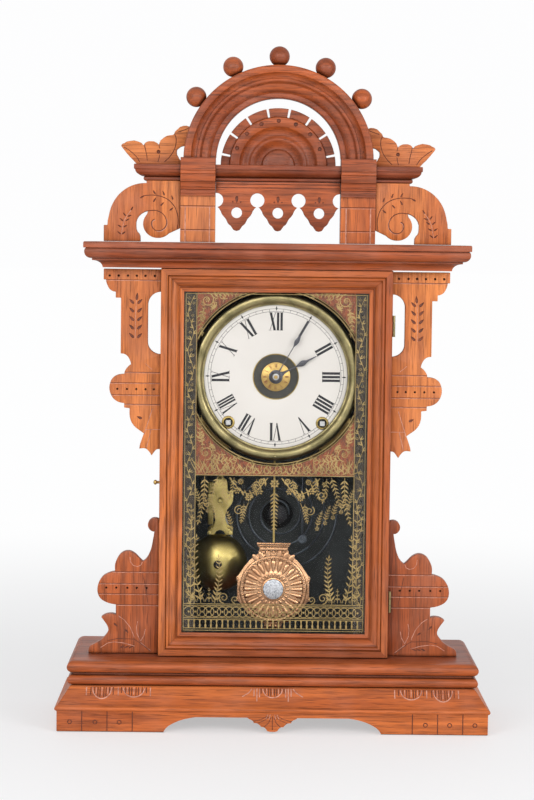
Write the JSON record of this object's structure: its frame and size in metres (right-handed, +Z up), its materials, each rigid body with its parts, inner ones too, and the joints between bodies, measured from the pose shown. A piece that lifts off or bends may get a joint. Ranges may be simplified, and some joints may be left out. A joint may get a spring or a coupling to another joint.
{
  "type": "carved shelf clock",
  "caption": "Carved walnut shelf clock with arched pediment, bracketed sides, glazed hinged door, round dial with hands, pendulum, coil gong and alarm bell.",
  "frame": {"origin": "centre of the clock's footprint, on the surface it stands on", "axes": "+Z up, -Y out of the front of the clock, +X to the viewer's right"},
  "size_m": [0.3798, 0.136, 0.5982],
  "materials": {
    "walnut": "satin oiled and varnished walnut, warm red-brown with open grain",
    "dark_walnut": "satin varnished walnut, darker red-brown",
    "pale_walnut": "satin varnished walnut, paler orange-tan",
    "pine": "bare softwood, aged",
    "tablet_glass": "clear glass stencilled on the back in black, rust red and gold",
    "brass": "stamped sheet brass, lightly tarnished",
    "bronzed_brass": "aged olive brass, satin",
    "dial_paper": "matt off-white dial paper on sheet metal, black numerals",
    "blued_steel": "dark blued steel, satin",
    "steel": "plain spring steel",
    "gilt_copper": "pressed copper-gilt sheet with a silvered centre",
    "cast_iron": "black japanned iron"
  },
  "bodies": {
    "case": {"base_front_board": "walnut", "base_side_left": "walnut", "base_side_right": "walnut", "plinth_board": "walnut", "case_side_left": "walnut", "case_side_right": "walnut", "scroll_bracket_left": "walnut", "scroll_bracket_right": "walnut", "upper_bracket_left": "walnut", "upper_bracket_right": "walnut", "lower_bracket_left": "walnut", "lower_bracket_right": "walnut", "cornice_moulding": "dark_walnut", "case_top_board": "dark_walnut", "entablature_shelf": "dark_walnut", "arch_moulding": "dark_walnut", "ball_finial_1": "dark_walnut", "ball_finial_2": "dark_walnut", "ball_finial_3": "dark_walnut", "ball_finial_4": "dark_walnut", "ball_finial_5": "dark_walnut", "fan_rosette": "dark_walnut", "pendant_board": "dark_walnut", "post_left": "pale_walnut", "post_right": "pale_walnut", "shell_left": "pale_walnut", "shell_right": "pale_walnut", "backboard": "pine", "movement_front_plate": "brass", "movement_back_plate": "brass", "alarm_bell": "brass", "alarm_frame": "brass", "hinge_upper": "bronzed_brass", "hinge_lower": "bronzed_brass", "dial_bezel": "bronzed_brass", "dial_plate": "dial_paper", "gong_coil": "blued_steel", "time_mainspring": "steel", "strike_mainspring": "steel", "gong_block": "cast_iron"},
    "door": {"door_frame": "walnut", "door_glass": "tablet_glass", "door_catch_pin": "brass"},
    "minute": {"centre_wheel": "brass", "minute_hand": "blued_steel"},
    "hour": {"hour_wheel": "brass", "hour_hand": "blued_steel"},
    "motion_idler": {"minute_wheel": "brass"},
    "second": {"second_wheel": "brass"},
    "time_great": {"time_great_wheel": "brass"},
    "strike_great": {"strike_great_wheel": "brass"},
    "time_winding": {"time_winding_arbor": "steel"},
    "strike_winding": {"strike_winding_arbor": "steel"},
    "escape": {"escape_wheel": "brass"},
    "alarm_setting": {"alarm_disc": "brass"},
    "pendulum": {"pendulum_rod": "steel", "pendulum_bob": "gilt_copper"},
    "verge": {"verge": "steel"},
    "gong_hammer": {"gong_hammer": "steel"},
    "alarm_hammer": {"alarm_hammer": "steel"}
  },
  "joints": [
    {"name": "door_hinge", "type": "hinge", "parent": "case", "child": "door", "pos_m": [0.1032, -0.0213, 0.23195], "axis": [0, 0, 1], "range_deg": [0, 105]},
    {"name": "minute_arbor", "type": "hinge", "parent": "case", "child": "minute", "pos_m": [0, 0, 0.3082], "axis": [0, 1, 0], "continuous": true},
    {"name": "hour_pipe", "type": "hinge", "parent": "case", "child": "hour", "pos_m": [0, 0, 0.3082], "axis": [0, 1, 0], "continuous": true},
    {"name": "minute_wheel_stud", "type": "hinge", "parent": "case", "child": "motion_idler", "pos_m": [-0.016, 0, 0.3082], "axis": [0, 1, 0], "continuous": true},
    {"name": "second_arbor", "type": "hinge", "parent": "case", "child": "second", "pos_m": [0.024, 0, 0.2889], "axis": [0, 1, 0], "continuous": true},
    {"name": "time_great_arbor", "type": "hinge", "parent": "case", "child": "time_great", "pos_m": [0.0417, 0, 0.2672], "axis": [0, 1, 0], "continuous": true},
    {"name": "strike_great_arbor", "type": "hinge", "parent": "case", "child": "strike_great", "pos_m": [-0.0417, 0, 0.2672], "axis": [0, 1, 0], "continuous": true},
    {"name": "time_winding", "type": "hinge", "parent": "case", "child": "time_winding", "pos_m": [0.0417, 0, 0.2672], "axis": [0, 1, 0], "continuous": true},
    {"name": "strike_winding", "type": "hinge", "parent": "case", "child": "strike_winding", "pos_m": [-0.0417, 0, 0.2672], "axis": [0, 1, 0], "continuous": true},
    {"name": "escape_arbor", "type": "hinge", "parent": "case", "child": "escape", "pos_m": [0, 0, 0.3242], "axis": [0, 1, 0], "continuous": true},
    {"name": "alarm_setting", "type": "hinge", "parent": "hour", "child": "alarm_setting", "pos_m": [0, 0, 0.3082], "axis": [0, 1, 0], "continuous": true},
    {"name": "pendulum_swing", "type": "hinge", "parent": "case", "child": "pendulum", "pos_m": [0, 0, 0.3442], "axis": [0, 1, 0], "range_deg": [-4, 4]},
    {"name": "verge_rock", "type": "hinge", "parent": "case", "child": "verge", "pos_m": [0, 0, 0.3442], "axis": [0, 1, 0], "range_deg": [-4, 4]},
    {"name": "gong_hammer_lift", "type": "hinge", "parent": "case", "child": "gong_hammer", "pos_m": [0.0265, 0.039, 0.2582], "axis": [1, 0, 0], "range_deg": [-10, 0]},
    {"name": "alarm_hammer_swing", "type": "hinge", "parent": "case", "child": "alarm_hammer", "pos_m": [-0.0484, 0.0458, 0.1889], "axis": [0, 1, 0], "range_deg": [-1.5, 8]}
  ],
  "couplings": [
    {"joint": "hour_pipe", "follows": "minute_arbor", "ratio": 0.083333},
    {"joint": "minute_wheel_stud", "follows": "minute_arbor", "ratio": -0.33333},
    {"joint": "second_arbor", "follows": "minute_arbor", "ratio": -0.75},
    {"joint": "time_great_arbor", "follows": "minute_arbor", "ratio": 0.083333},
    {"joint": "verge_rock", "follows": "pendulum_swing", "ratio": 1}
  ]
}
